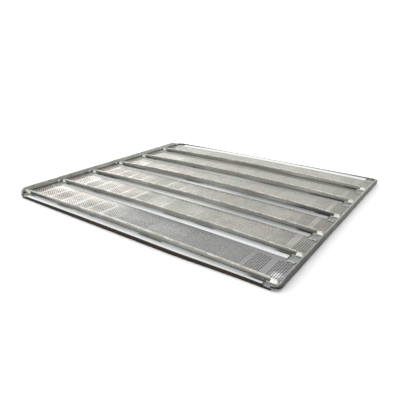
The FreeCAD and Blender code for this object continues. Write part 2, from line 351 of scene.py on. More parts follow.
def buildBarFinish(name, look):
    # dull drawn steel: duller towards the front, with painted shade along the lower edge
    f = Finish(name)
    drawn = f.noise(420, 2.0, stretch=(5, 0.12, 5))
    patches = f.noise(22, 4.0)
    rust = f.noise(120, 5.0, shift=(0, 2, 0))
    front = f.patch(y=(0.3, -0.3))
    colour = f.mix((patches + 0.5 * (front - 0.5)).between(0.35, 0.7), look["clean"], look["stained"])
    shadeBand = [barLow.z + up for up in barPaintedLight["shadeBand"]]
    # painted shade along the lower edge
    edge = 1 - (f.z / mm + 4 * (rust - 0.5)).between(*shadeBand)
    colour = f.mix(edge * 0.9, colour, look["burntAndShade"])
    streaks = f.noise(60, 3.0, stretch=(1, 1, 0.15)).between(0.56, 0.72)
    colour = f.mix(streaks * 0.3, colour, look["burntAndShade"])
    scuffs = f.noise(75, 4.0, stretch=(1, 0.5, 1.6), shift=(5, 0, 0)).between(0.5, 0.72)
    shade = (1 + f.brightnessShift(barPaintedLight["patches"])) * (1.0 - 0.3 * (drawn - 0.5) + 0.3 * scuffs)
    colour = f.mix(1.0, colour, f.grey(shade), "MULTIPLY")
    rough = look["rough"] + 0.2 * (patches - 0.5) + 0.2 * edge
    relief = f.bump(0.6 * drawn + 0.4 * rust, 0.00015)
    return f.set(colour=colour, roughness=rough, metallic=look["metallic"], normal=relief)


floorLook = {
    "bright": (0.35, 0.345, 0.315),
    "warm": (0.31, 0.285, 0.26),
    "green": (0.27, 0.285, 0.25),
    "cool": (0.285, 0.29, 0.30),
    "dark": (0.16, 0.145, 0.12),
    # a painted glint: its colour, place and size
    "paintedGlare": (0.72, 0.73, 0.74),
    "glintSpot": (0.315, -0.268, 0.0055),
    "glintSize": (0.002, 0.015),
    "firstPan": {"x": (-0.17, 0.02), "y": (-0.18, -0.2)},
    # where the floor carries painted glare
    "glareArea": {"x": (0.02, -0.2), "y": (0.0, -0.1)},
    "patches": [
        (0.22, {"y": (-0.15, 0.2)}),                           # the back channels lighter
        (-0.099, {"x": (0.0, 0.3), "y": (-0.15, 0.2)}),        # but less so at their right
        (-0.4, {"x": (-0.17, 0.02), "y": (-0.18, -0.2)}),      # the first is dull past its left third
        (0.28, {"x": (0.1, 0.3), "y": (-0.18, -0.2)}),         # and less dull near its right end
        (-0.07, {"y": (0.1, -0.05)}),
        (-0.13, {"x": (0.05, -0.2), "y": (-0.06, 0.04)}),
        (0.55, {"x": (-0.25, -0.33), "y": (0.2, 0.0)}),        # painted light at the left ends, against the left bar's shadow
    ],
    "rough": 0.46,
    "metallic": 0.6,
}


def buildFloorFinish():
    # perforated aluminium: baked-on film in patches, one tint per block of holes, with painted glare, a
    # painted glint and painted light at the left ends
    f = Finish("panSheet")
    across = f.channels().fraction()
    block = ((f.x / mm - blocks["firstBand"]) / blocks["pitch"]).whole()
    # a number from 0 to 1 that jumps from each block to the next
    tint = ((block * 12.9898 + f.channels().whole() * 78.233).wave() * 43758.5).fraction()
    film = f.noise(16, 5.0, stretch=(1, 1.6, 1))
    drift = f.noise(7, 2.0, shift=(0, 5, 0))
    smears = f.noise(55, 4.0, stretch=(0.35, 1.4, 1), shift=(1, 0, 0))
    grain = f.noise(700, 2.0, stretch=(0.12, 1, 1))
    specks = f.noise(640, 2.0, shift=(4, 4, 0)).between(0.68, 0.76)
    colour = f.mix(film.between(0.36, 0.68), floorLook["bright"], floorLook["warm"])
    used = f.patch(x=(-0.3, 0.0)) + 0.7 * f.patch(y=(-0.1, 0.1))
    green = (drift + 0.5 * (tint - 0.5)).between(0.42, 0.64) * used.between(0.0, 1.0)
    green = green + 0.45 * f.patch(y=(-0.02, 0.22))
    colour = f.mix(green.between(0.0, 1.2) * 0.85, colour, floorLook["green"])
    colour = f.mix(smears.between(0.55, 0.78) * 0.45, colour, floorLook["dark"])
    nearLip = 1 - across.between(0.02, 0.12)
    nearStep = across.between(0.74, 0.84) * (1 - across.between(0.84, 0.86))
    colour = f.mix((nearLip + nearStep * 0.6) * 0.3, colour, floorLook["dark"])
    colour = f.mix(0.7 * f.patch(**floorLook["firstPan"]), colour, floorLook["cool"])
    # painted glare over the back half of the floors at the front left
    glare = across.between(0.5, 0.75) * f.patch(**floorLook["glareArea"])
    shade = 1.0 - 0.14 * (grain - 0.5) + 0.07 * (tint - 0.5) - 0.3 * specks
    shade = shade + f.brightnessShift(floorLook["patches"]) + 0.3 * glare
    colour = f.mix(1.0, colour, f.grey(shade), "MULTIPLY")
    # a painted glint near the right end of the first channel
    away = f.add("ShaderNodeVectorMath", {"operation": "DISTANCE"}, {
        0: f.place, 1: floorLook["glintSpot"],
    }, "Value")
    colour = f.mix(0.8 * (1 - away.between(*floorLook["glintSize"])), colour, floorLook["paintedGlare"])
    rough = floorLook["rough"] + 0.28 * (film - 0.5) + 0.15 * (smears - 0.5) + 0.1 * tint
    relief = f.bump(0.4 * grain + 0.6 * smears, 0.00012)
    return f.set(colour=colour, roughness=rough, metallic=floorLook["metallic"], normal=relief)


ledgeLook = {
    "front": (0.62, 0.64, 0.64),
    "back": (0.47, 0.495, 0.495),
    "dull": (0.23, 0.24, 0.21),
    "stain": (0.30, 0.28, 0.24),
    "rough": 0.55,
    "metallic": 0.15,
    "linePitch": 3.3,      # cross lines left by the rolls, millimetres
    "inner": {"y": (0.27, 0.24)},                              # all but the last ledge
    "dimmedLedges": {"y": (0.02, 0.16, 0.24, 0.27)},
    "leftPart": {"x": (0.05, -0.2), "y": (-0.26, -0.22, 0.02, 0.08)},
    "patches": [
        (-0.42, {"x": (0.0, 0.14), "y": (-0.14, -0.1, 0.24, 0.27)}),
        (-0.2, {"x": (0.1, -0.3), "y": (-0.26, -0.22, 0.24, 0.27)}),
    ],
}


def buildLedgeFinish():
    # bright strip in front of each lip, darker towards the lip as a painted reflection of the lip, with fine
    # cross lines
    f = Finish("ledgeSheet")
    across = f.channels().fraction()
    inner = f.patch(**ledgeLook["inner"])
    back = across.between(0.86, 0.995) * inner
    wander = f.noise(30, 2.0)
    lines = ((f.x / mm + 1.2 * wander) * (2 * math.pi / ledgeLook["linePitch"])).wave()
    fine = f.noise(500, 2.0, stretch=(1, 0.06, 1))
    film = f.noise(24, 4.0, stretch=(0.6, 1.5, 1))
    # painted reflection of the lip: the front colour darkens to the back colour near the lip
    colour = f.mix(back, ledgeLook["front"], ledgeLook["back"])
    colour = f.mix(f.patch(**ledgeLook["dimmedLedges"]) * 0.95, colour, ledgeLook["dull"])
    colour = f.mix(f.patch(**ledgeLook["leftPart"]) * 0.35, colour, ledgeLook["dull"])
    colour = f.mix(film.between(0.55, 0.8) * (0.2 + 0.5 * back), colour, ledgeLook["stain"])
    # painted shade in the gap under a lip: here and there along it, and at both its ends
    gap = f.noise(9, 1.0, stretch=(1, 3, 1), shift=(0, 6, 0)).between(0.56, 0.62)
    gap = gap * across.between(0.94, 0.965) * inner
    ends = f.patch(x=(-0.28, -0.305)) + f.patch(x=(0.27, 0.29))
    ends = ends * across.between(0.935, 0.955) * inner
    shade = 1.0 + 0.05 * lines + 0.12 * (fine - 0.5) + f.brightnessShift(ledgeLook["patches"])
    shade = shade - 0.75 * gap - 0.85 * ends
    colour = f.mix(1.0, colour, f.grey(shade), "MULTIPLY")
    rough = ledgeLook["rough"] + 0.1 * (film - 0.5) + 0.12 * back
    relief = f.bump(0.35 * lines + 0.65 * fine, 0.00010)
    return f.set(colour=colour, roughness=rough, metallic=ledgeLook["metallic"], normal=relief)


lipLook = {
    "face": (0.22, 0.217, 0.19),
    "footShade": (0.075, 0.067, 0.05),
    "worn": (0.34, 0.34, 0.31),
    "footShadeTop": (7.5, 12.5),      # heights between which the painted shade at the foot thins out, millimetres
    "patches": [
        (0.2, {"y": (-0.25, -0.15)}),
        (1.1, {"x": (0.02, 0.3), "y": (0.03, 0.12)}),          # the back lips lighter at their right
        (-0.65, {"x": (-0.2, -0.28), "y": (-0.22, -0.25)}),    # painted shade at the first lip's left end, over a gap
        # painted shade at the fourth lip's right end, over a gap
        (-0.7, {"x": (0.2, 0.25), "y": (-0.05, -0.03, 0.03, 0.05)}),
    ],
    "rough": 0.5,
    "metallic": 0.4,
}


def buildLipFinish():
    # upright lips: brown-grey, darkest low down with painted shade at the foot, worn pale in streaks
    f = Finish("lipSheet")
    film = f.noise(20, 5.0, stretch=(0.5, 1, 2.5))
    streaks = f.noise(150, 3.0, stretch=(1, 1, 0.12)).between(0.55, 0.75)
    grain = f.noise(600, 2.0, stretch=(0.1, 1, 1))
    low = 1 - (f.z / mm).between(*lipLook["footShadeTop"])
    colour = f.mix(film.between(0.35, 0.7), lipLook["face"], lipLook["worn"])
    colour = f.mix(low * 0.85, colour, lipLook["footShade"])
    colour = f.mix(streaks * 0.35, colour, lipLook["worn"])
    shade = 1.05 - 0.3 * (grain - 0.5) + f.brightnessShift(lipLook["patches"])
    colour = f.mix(1.0, colour, f.grey(shade), "MULTIPLY")
    rough = lipLook["rough"] + 0.25 * (film - 0.5) + 0.1 * low
    relief = f.bump(0.5 * grain + 0.5 * film, 0.00015)
    return f.set(colour=colour, roughness=rough, metallic=lipLook["metallic"], normal=relief)


underLook = {
    "darkMottle": (0.035, 0.033, 0.028),
    "lightMottle": (0.075, 0.07, 0.06),
}


def buildUnderFinish():
    # undersides: matt and almost black, painted shade for what the holes show
    f = Finish("underShadeSheet")
    darkMottle = f.noise(60, 4.0)
    colour = f.mix(darkMottle.between(0.3, 0.7), underLook["darkMottle"], underLook["lightMottle"])
    relief = f.bump(darkMottle, 0.0001)
    return f.set(colour=colour, roughness=0.75 + 0.15 * (darkMottle - 0.5), metallic=0.2, normal=relief)


wallLook = {
    # the light colour is painted glare, the dark one painted shade in the holes
    "paintedGlare": (0.74, 0.73, 0.68),
    "holeShade": (0.07, 0.065, 0.055),
    "glareTo": 0.2,        # half length of the middle with painted glare, metres
    "holeShadeFrom": 0.33,
    "backShadeCut": 0.45,     # share of that painted shade that the back channels are without
    "lastRow": {"x": (-0.15, -0.05), "y": (-0.16, -0.14, 0.0, 0.02)},
    "firstPan": {"x": (0.05, 0.2), "y": (-0.19, -0.21)},
    "leftPart": {"x": (0.02, -0.12), "y": (0.06, -0.08)},
}


def buildWallFinish():
    # walls of the holes: painted glare along the middle, painted shade towards the ends and in a few other
    # places
    f = Finish("holeWalls")
    darkMottle = f.noise(45, 4.0)
    across = f.channels().fraction()
    ends = f.x.size().between(wallLook["glareTo"], wallLook["holeShadeFrom"])
    ends = ends * (1 - wallLook["backShadeCut"] * f.patch(y=(-0.1, 0.25)))
    # painted shade in the last row of holes before some ledges
    lastRow = across.between(0.775, 0.79) * f.patch(**wallLook["lastRow"])
    leftPart = f.patch(**wallLook["leftPart"]) * (1 - 0.6 * across.between(0.5, 0.75))
    holeShade = ends + 0.3 * f.patch(**wallLook["firstPan"]) + 0.72 * leftPart
    holeShade = holeShade + 0.8 * lastRow + 0.25 * (darkMottle - 0.5)
    colour = f.mix(holeShade.between(0.0, 1.0), wallLook["paintedGlare"], wallLook["holeShade"])
    relief = f.bump(darkMottle, 0.0001)
    return f.set(colour=colour, roughness=0.6 + 0.2 * (darkMottle - 0.5), metallic=0.1, normal=relief)


# these near-black browns are a painted reflection of a dark surface
skirtLook = {
    "burntAndShade": (0.018, 0.013, 0.010),
    "brown": (0.034, 0.023, 0.017),
    "scraped": (0.10, 0.08, 0.062),
    "rough": 0.7,
    "gloss": 0.2,
}


def buildSkirtFinish():
    # front skirt and feet: a brown-black coat that is a painted reflection of a dark surface, scraped along
    # its folds
    f = Finish("skirtSheet")
    coat = f.noise(18, 5.0, stretch=(0.5, 1, 3))
    drips = f.noise(90, 4.0, stretch=(1, 1, 0.2)).between(0.5, 0.75)
    chips = f.noise(420, 3.0).between(0.66, 0.72)
    fold = (f.z / mm).between(folds["ledgeTop"] - 0.4, folds["ledgeTop"] + 0.6)
    colour = f.mix(coat.between(0.35, 0.7), skirtLook["burntAndShade"], skirtLook["brown"])
    colour = f.mix(drips * 0.4, colour, skirtLook["burntAndShade"])
    colour = f.mix(chips * 0.6 + fold * 0.3, colour, skirtLook["scraped"])
    rough = skirtLook["rough"] + 0.3 * (coat - 0.5) - 0.12 * drips
    relief = f.bump(0.6 * coat + 0.4 * drips - 0.4 * chips, 0.00025)
    f.shader.inputs["Specular IOR Level"].default_value = skirtLook["gloss"]
    return f.set(colour=colour, roughness=rough, metallic=0.0, normal=relief)


finishes = {
    "bar": buildBarFinish("barSteel", barLook),
    "shadedOuterBar": buildBarFinish("barOuterPaintedShade", shadedOuterBarLook),
    "highlitEdgeBar": buildBarFinish("barEdgePaintedHighlight", highlitEdgeBarLook),
    "floor": buildFloorFinish(),
    "ledge": buildLedgeFinish(),
    "lip": buildLipFinish(),
    "skirt": buildSkirtFinish(),
    "under": buildUnderFinish(),
    "wall": buildWallFinish(),
    "hem": agedMetal("hemSheet", hemLook),
    "bracket": agedMetal("bracketSteel", bracketLook),
    "clip": agedMetal("clipSteel", clipLook),
    "hook": agedMetal("hookSteel", hookLook),
    "rivet": agedMetal("rivetSteel", rivetLook),
}
print("finishes made:", len(finishes))


def makePiece(name, points, faces, finishNames, slots=None):
    # points in millimetres; slots gives each face's place in finishNames
    mesh = bpy.data.meshes.new(name)
    mesh.from_pydata([Vector(point) * mm for point in points], [], faces)
    for finishName in finishNames:
        mesh.materials.append(finishes[finishName])
    if slots:
        mesh.polygons.foreach_set("material_index", slots)
    mesh.validate()
    piece = bpy.data.objects.new(name, mesh)
    bpy.context.scene.collection.objects.link(piece)
    return piece


def settle(piece, angle=38):
    # applies the modifiers and keeps edges crisp only where the metal turns sharply
    graph = bpy.context.evaluated_depsgraph_get()
    mesh = bpy.data.meshes.new_from_object(piece.evaluated_get(graph), depsgraph=graph)
    piece.modifiers.clear()
    old = piece.data
    piece.data = mesh
    mesh.name = piece.name
    bpy.data.meshes.remove(old)
    mesh.polygons.foreach_set("use_smooth", [True] * len(mesh.polygons))
    mesh.set_sharp_from_angle(angle=math.radians(angle))
    return piece


def thicken(piece, thickness, undersideSlot=0, rimSlot=0):
    # undersideSlot and rimSlot are how many places further on those finishes stand
    solid = piece.modifiers.new("thickness", "SOLIDIFY")
    solid.thickness = thickness * mm
    solid.offset = 0
    solid.use_even_offset = True
    solid.material_offset = undersideSlot
    solid.material_offset_rim = rimSlot
    return settle(piece)


def arc(centre, radius, start, end, steps):
    # points on an arc in the YZ plane, angles in degrees
    points = []
    for step in range(steps + 1):
        angle = math.radians(start + (end - start) * step / steps)
        points.append((centre[0] + radius * math.cos(angle), centre[1] + radius * math.sin(angle)))
    return points


def bow(x, half, rise):
    # how far a sheet stands up at x when it rises at mid length
    return rise * max(0.0, 1 - (x / half) ** 2)


def joinPieces(name, pieces):
    # one object out of several
    whole = bmesh.new()
    finishesUsed = []
    for piece in pieces:
        start = len(whole.faces)
        whole.from_mesh(piece.data)
        whole.faces.ensure_lookup_table()
        lookup = []
        for material in piece.data.materials:
            if material not in finishesUsed:
                finishesUsed.append(material)
            lookup.append(finishesUsed.index(material))
        for face in whole.faces[start:]:
            face.material_index = lookup[face.material_index]
    mesh = bpy.data.meshes.new(name)
    whole.to_mesh(mesh)
    whole.free()
    for material in finishesUsed:
        mesh.materials.append(material)
    for piece in pieces:
        used = piece.data
        bpy.data.objects.remove(piece)
        bpy.data.meshes.remove(used)
    joined = bpy.data.objects.new(name, mesh)
    bpy.context.scene.collection.objects.link(joined)
    mesh.polygons.foreach_set("use_smooth", [True] * len(mesh.polygons))
    mesh.set_sharp_from_angle(angle=math.radians(38))
    return joined


holes = {
    "radius": 1.5,
    "sides": 12,
    "column": 4.33,        # distance between columns of holes
    "cellRim": [0, 49, 131, 180, 229, 311],        # directions of a cell's six rim points, degrees
    "columnsPerBlock": 8,
    "blockCount": 16,
    "bandShifts": [0, -7, 4, -3, 6, -5],
    "sheetEnd": 335.0,     # the floor stops under the bar
    "shortRows": [2, 0, 0, 0, 0, 0],   # hole rows left out in front of each ledge
}


def holeColumns(shift):
    # columns as (start, end, kind), kind None for plain sheet and 0 or 1 for the two staggers
    width = holes["column"]
    blockWidth = width * holes["columnsPerBlock"]
    band = blocks["pitch"] - blockWidth
    spans = []
    for number in range(holes["blockCount"]):
        start = blocks["firstBand"] + shift + blocks["pitch"] * (number - 1) + band / 2
        for column in range(holes["columnsPerBlock"]):
            spans.append((start + column * width, start + (column + 1) * width, column % 2))
    endBlock = [(ledgeEnd - 2 * width, ledgeEnd - width, 0), (ledgeEnd - width, ledgeEnd, 1)]
    inner = [span for span in spans if span[0] >= -ledgeEnd and span[1] <= endBlock[0][0] - band]
    inner += endBlock
    columns = []
    here = -ledgeEnd
    for start, end, kind in inner:
        if start > here + 0.01:
            columns.append((here, start, None))
        columns.append((start, end, kind))
        here = end
    if ledgeEnd > here + 0.01:
        columns.append((here, ledgeEnd, None))
    outer = []
    here = ledgeEnd
    kind = 0
    while here + width < holes["sheetEnd"]:
        outer.append((here, here + width, kind))
        here += width
        kind = 1 - kind
    outer.append((here, holes["sheetEnd"], None))
    leftOuter = [(-end, -start, kind) for start, end, kind in reversed(outer)]
    return columns, leftOuter, outer


def zipRings(outerAngles, innerCount):
    # triangles between a cell's rim and its hole, as ((ring, index), ...), anticlockwise
    innerAngles = [360 * step / innerCount for step in range(innerCount)]
    outerAngles = list(outerAngles)
    corners = []
    here, inside = 0, 0
    while here < len(outerAngles) or inside < innerCount:
        nextOut = outerAngles[here + 1] if here + 1 < len(outerAngles) else 360 + outerAngles[0]
        nextIn = innerAngles[inside + 1] if inside + 1 < innerCount else 360
        takeInner = inside < innerCount and (here >= len(outerAngles) or nextIn <= nextOut)
        outNow = ("out", here % len(outerAngles))
        inNow = ("in", inside % innerCount)
        if takeInner:
            corners.append((outNow, ("in", (inside + 1) % innerCount), inNow))
            inside += 1
        else:
            corners.append((outNow, ("out", (here + 1) % len(outerAngles)), inNow))
            here += 1
    return corners


class Sheet:
    # a folded sheet as rows of faces along X; each row's edge points are shared
    def __init__(self, path, lift):
        self.path = path
        self.lift = lift
        self.points = []
        self.known = {}
        self.faces = []
        self.slots = []

    def corner(self, x, row):
        key = (round(x * 1000), row)
        if key not in self.known:
            self.known[key] = len(self.points)
            self.points.append(self.lift(x, *self.path[row], row))
        return self.known[key]

    def quad(self, start, end, row, slot):
        self.faces.append([
            self.corner(start, row),
            self.corner(end, row),
            self.corner(end, row + 1),
            self.corner(start, row + 1),
        ])
        self.slots.append(slot)

    def quadRow(self, columns, row, slot):
        # plain faces all along one row
        for start, end, _ in columns:
            self.quad(start, end, row, slot)

    def holeCell(self, start, end, row, slot, template):
        # one hole in a cell two rows deep
        middle = (start + end) / 2
        rim = [
            self.corner(end, row + 1),
            self.corner(end, row + 2),
            self.corner(start, row + 2),
            self.corner(start, row + 1),
            self.corner(start, row),
            self.corner(end, row),
        ]
        low = self.path[row]
        high = self.path[row + 2]
        centreY = (low[0] + high[0]) / 2
        centreZ = (low[1] + high[1]) / 2
        ring = []
        for step in range(holes["sides"]):
            angle = 2 * math.pi * step / holes["sides"]
            x = middle + holes["radius"] * math.cos(angle)
            y = centreY + holes["radius"] * math.sin(angle)
            ring.append(len(self.points))
            self.points.append(self.lift(x, y, centreZ, row + 1))
        for triangle in template:
            self.faces.append([rim[index] if which == "out" else ring[index] for which, index in triangle])
            self.slots.append(slot)


panWork = {
    "bendRadius": 2.4,
    "wobble": 0.16,        # height of the slow waves in the sheet
    "rowsAhead": 1,        # rows of holes' half pitch in front of the bracket line
    "bracketRear": 7.0,
    "bracketFront": 22.0,
    "rowSteps": 28,
}


def waves(count, size):
    # a few slow waves over the sheet, different for every pan
    parts = []
    for _ in range(count):
        parts.append((
            random.uniform(0.006, 0.03),
            random.uniform(0.01, 0.05),
            random.uniform(0, 2 * math.pi),
            random.uniform(0.4, 1.0) * size / count,
        ))

    def height(x, y):
        return sum(high * math.sin(a * x + b * y + turn) for a, b, turn, high in parts)

    return height


def buildPan(number):
    node = f"pan_{number}"
    low, high = boxOf(node)
    lip = low.y + folds["hemAhead"]
    crown = high.z - folds["lipEnds"]
    ripple = waves(6, panWork["wobble"] * 2.2)
    upright = lip - folds["hemAhead"] + folds["hemThickness"] - folds["sheet"] / 2
    foldOut = lip - folds["hemAhead"] + folds["sheet"] / 2
    foldRadius = (upright - foldOut) / 2
    foldZ = folds["lipEnds"] - folds["sheet"] / 2 - foldRadius
    bend = panWork["bendRadius"]
    step = high.y - folds["ledge"]
    rowHeight = (pitch - panWork["bracketFront"] - panWork["bracketRear"]) / panWork["rowSteps"]
    rowStart = lip + panWork["bracketRear"] - rowHeight * panWork["rowsAhead"]

    # the path runs from the hem's free edge over the lip, along the floor and up to the ledge
    path = [(foldOut, folds["lipEnds"] - folds["hemHeight"] + 0.1), (foldOut, foldZ)]
    path += arc((foldOut + foldRadius, foldZ), foldRadius, 180, 0, 6)[1:]
    hemRows = len(path) - 1
    path += [(upright, foldZ - 2.2), (upright, floorMid + 5.5)]
    path += arc((upright + bend, floorMid + bend), bend, 180, 270, 4)
    floorRow = len(path)
    rows = int(round((step - rowStart) / rowHeight))
    for row in range(rows + 1):
        path.append((rowStart + row * rowHeight, floorMid))
    stepRow = len(path) - 1
    after = path[-1][0]
    path += [
        (after + 0.35, floorMid + 0.25),
        (after + 0.75, floorMid + 0.75),
        (after + 1.15, ledgeMid - 0.25),
        (after + 1.5, ledgeMid),
    ]
    ledgeStop = high.y + (folds["hemAhead"] if number < channelCount else -0.2)
    for part in (0.35, 0.7, 1.0):
        path.append((after + 1.5 + (ledgeStop - after - 1.5) * part, ledgeMid))

    def lift(x, y, z, row):
        flat = bow(x, ledgeEnd, folds["floorRise"])
        top = bow(x, lipEnd, crown)
        share = 0.0
        if row < floorRow:
            share = min(1.0, max(0.0, (z - floorMid - bend) / (foldZ - 3 - floorMid - bend)))
        inside = max(0.0, 1 - (x / ledgeEnd) ** 4)
        rise = flat + share * (top - flat) + ripple(x, y) * inside * (1 - 0.6 * share)
        sway = 0.35 * inside * math.sin(0.021 * x + number * 1.7) * (1 if row < floorRow else 0)
        return (x, y + sway * share, z + rise)

    sheet = Sheet(path, lift)
    inner, leftOuter, outer = holeColumns(holes["bandShifts"][number - 1])
    template = zipRings(holes["cellRim"], holes["sides"])
    lipColumns = [(-lipEnd, -ledgeEnd, None), *inner, (ledgeEnd, lipEnd, None)]
    topFinishes = ["floor", "ledge", "lip", "hem"]
    slotNames = [*topFinishes, "under", "under", "lip", "lip", "wall", "under", "lip", "hem"]
    bendStart = floorRow - 5
    for row in range(floorRow):
        sheet.quadRow(lipColumns if row < bendStart else inner, row, 3 if row < hemRows + 1 else 2)
    firstWide = floorRow + panWork["rowsAhead"]
    lastWide = firstWide + panWork["rowSteps"]
    holeRows = (stepRow - floorRow - 1) // 2 - holes["shortRows"][number - 1]
    for columns, firstRow, lastRow in (
        (inner, floorRow, stepRow),
        (leftOuter, firstWide, lastWide),
        (outer, firstWide, lastWide),
    ):
        for start, end, kind in columns:
            row = firstRow
            while row < lastRow:
                stagger = (row - floorRow) % 2
                fits = row + 2 <= min(lastRow, floorRow + 2 * holeRows + 1)
                if kind is not None and stagger == kind and fits:
                    sheet.holeCell(start, end, row, 0, template)
                    row += 2
                else:
                    sheet.quad(start, end, row, 0)
                    row += 1
    for row in range(stepRow, len(path) - 1):
        sheet.quadRow(inner, row, 0 if row < stepRow + 2 else 1)
    piece = makePiece(f"channelPan.{number}", sheet.points, sheet.faces, slotNames, sheet.slots)
    thicken(piece, folds["sheet"], len(topFinishes), 2 * len(topFinishes))
    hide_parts(node)
    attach(piece, "root")
    return piece


for panNumber in range(1, channelCount + 1):
    panPiece = buildPan(panNumber)
    print(panPiece.name, "faces", len(panPiece.data.polygons))


cornerWear = {
    "push": 5.5,           # how far the front right corner has been knocked back
    "from": 110.0,         # where along the front the knock begins
    "to": 300.0,
    "depth": 15.0,         # it has died away this far behind the front
}


def smooth(value, low, high):
    part = min(1.0, max(0.0, (value - low) / (high - low)))
    return part * part * (3 - 2 * part)


def settleCorner(piece):
    front = railLow.y
    for vertex in piece.data.vertices:
        x, y = vertex.co.x / mm, vertex.co.y / mm
        side = smooth(x, cornerWear["from"], cornerWear["to"])
        back = 1 - min(1.0, max(0.0, (y - front) / cornerWear["depth"]))
        vertex.co.y += cornerWear["push"] * side * back * mm
    piece.data.update()


railWork = {
    "fold": 1.3,           # radius of the rails' folds, to the middle of the sheet
    "stations": 48,
    "foot": 10.0,          # depth of the flange that the tray stands on
    "upstandTop": 10.5,
    "shelfDepth": 13.5,    # how far the back rail's shelf reaches under the last ledge
}


def evenColumns(half, count):
    width = 2 * half / count
    return [(-half + width * step, -half + width * (step + 1), None) for step in range(count)]


def buildFrontRail():
    half = folds["sheet"] / 2
    front = railLow.y + half
    radius = railWork["fold"]
    base = half
    footBack = railLow.y + railWork["foot"]
    top = folds["ledgeTop"] - half
    ripple = waves(6, 0.3)
    skirtStop = plateLow.z - 0.1
    path = [(footBack, base)]
    path += arc((front + radius, base + radius), radius, 270, 180, 4)
    path += [(front, skirtStop - 0.6), (front, skirtStop)]
    cornerRow = len(path) - 1
    path += arc((front + radius, top - radius), radius, 180, 90, 5)
    ledgeRow = len(path) - 1
    lipFace = firstLip + folds["hemAhead"]
    for part in (0.3, 0.65, 1.0):
        path.append((front + radius + (lipFace - front - radius) * part, top))

    def lift(x, y, z, row):
        share = min(1.0, max(0.0, (z - base) / (top - base)))
        inside = max(0.0, 1 - (x / ledgeEnd) ** 4)
        rise = share * (bow(x, ledgeEnd, folds["frontRise"]) + ripple(x, y) * inside)
        return (x, y, z + rise)

    sheet = Sheet(path, lift)
    columns = evenColumns(ledgeEnd, railWork["stations"])
    long = railHigh.x
    wideColumns = [(-long, -ledgeEnd, None), *columns, (ledgeEnd, long, None)]
    for row in range(len(path) - 1):
        sheet.quadRow(wideColumns if row < cornerRow else columns, row, 1 if row >= ledgeRow - 1 else 0)
    finishNames = ["skirt", "ledge", "under", "under"]
    piece = makePiece("frontRail", sheet.points, sheet.faces, finishNames, sheet.slots)
    thicken(piece, folds["sheet"], 2, 2)
    settleCorner(piece)
    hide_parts("front_rail")
    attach(piece, "root")
    return piece


def buildBackRail():
    half = folds["sheet"] / 2
    back = upstandHigh.y - half
    radius = railWork["fold"]
    ripple = waves(5, 0.2)
    upstandTop = railWork["upstandTop"]
    path = [(upstandHigh.y - railWork["foot"], half)]
    path += arc((back - radius, half + radius), radius, 270, 360, 4)
    path += [(back, 4.0), (back, 6.5), (back, upstandTop - 0.25), (back, upstandTop - 0.05)]

    def lift(x, y, z, row):
        inside = max(0.0, 1 - (x / ledgeEnd) ** 4)
        return (x, y + ripple(x, z) * inside * 0.3 - 0.1 * inside, z)

    sheet = Sheet(path, lift)
    long = upstandHigh.x
    for row in range(len(path) - 1):
        sheet.quadRow(evenColumns(long, railWork["stations"]), row, 0)
    upstand = makePiece("backUpstand", sheet.points, sheet.faces, ["lip"], sheet.slots)
    thicken(upstand, folds["sheet"] - 0.02)
    shelfMid = folds["ledgeTop"] - 1.5 * folds["sheet"] - 0.03
    stop = upstandHigh.y - folds["sheet"] - 0.2
    shelfPath = [(stop - railWork["shelfDepth"], shelfMid), (stop - 6, shelfMid), (stop, shelfMid)]

    def shelfLift(x, y, z, row):
        return (x, y, z + bow(x, ledgeEnd, folds["floorRise"]))

    shelfSheet = Sheet(shelfPath, shelfLift)
    for row in range(2):
        shelfSheet.quadRow(evenColumns(ledgeEnd, railWork["stations"]), row, 0)
    shelf = makePiece("backShelf", shelfSheet.points, shelfSheet.faces, ["ledge"], shelfSheet.slots)
    thicken(shelf, folds["sheet"] - 0.1)
    piece = joinPieces("backRail", [upstand, shelf])
    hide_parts("back_rail")
    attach(piece, "root")
    return piece


buildFrontRail()
buildBackRail()
print("rails folded")


barWork = {
    "thickness": 3.0,
    "edge": 0.7,
    "edgeSteps": 3,
    "bendRadius": 16.0,
    "bendSteps": 14,
    "straightSteps": 150,
    "frontEnd": 6.4,       # height of the bar's top where it comes round to the front
    "frontTaper": {"left": 22.0, "right": 34.0},
    "backEnd": 10.5,
    "backTaper": 38.0,
}


bracketWork = {
    "tongueRadius": 8.5,   # rounding of the plate's inner front corner
    "heelRadius": 4.0,
    "cornerRadius": 15.5,  # where the end plates follow the bar's bend
    "sharpRadius": 0.05,   # every other outer corner
    "barGap": 0.6,
    "endGap": 0.1,
    "flangeHalf": 4.0,
    "flangeRadius": 2.6,
    "endFlange": 20.0,     # end flanges and rivets, from the tray's front and back
    "flangeBack": 13.0,    # any other bracket's flange, from the back of its plate
    "edge": 0.3,
}


def roundedOutline(corners, steps=7):
    # corners as (across, along, radius), anticlockwise
    points = []
    count = len(corners)
    for number, (x, y, radius) in enumerate(corners):
        here = Vector((x, y))
        before = Vector(corners[number - 1][:2])
        after = Vector(corners[(number + 1) % count][:2])
        if radius < 0.05:
            points.append(here)
            continue
        toBefore = (before - here).normalized()
        toAfter = (after - here).normalized()
        start = here + toBefore * radius
        end = here + toAfter * radius
        for step in range(steps + 1):
            part = step / steps
            points.append(start * (1 - part) ** 2 + here * 2 * part * (1 - part) + end * part ** 2)
    return points


def slab(name, outline, place, thickness, finishName):
    # an outline in its own plane, put in place by a function and given thickness
    bottom = [place(point, 0) for point in outline]
    top = [place(point, thickness) for point in outline]
    count = len(outline)
    faces = [list(range(count))[::-1], list(range(count, 2 * count))]
    for number in range(count):
        following = (number + 1) % count
        faces.append([number, following, count + following, count + number])
    return makePiece(name, bottom + top, faces, [finishName])


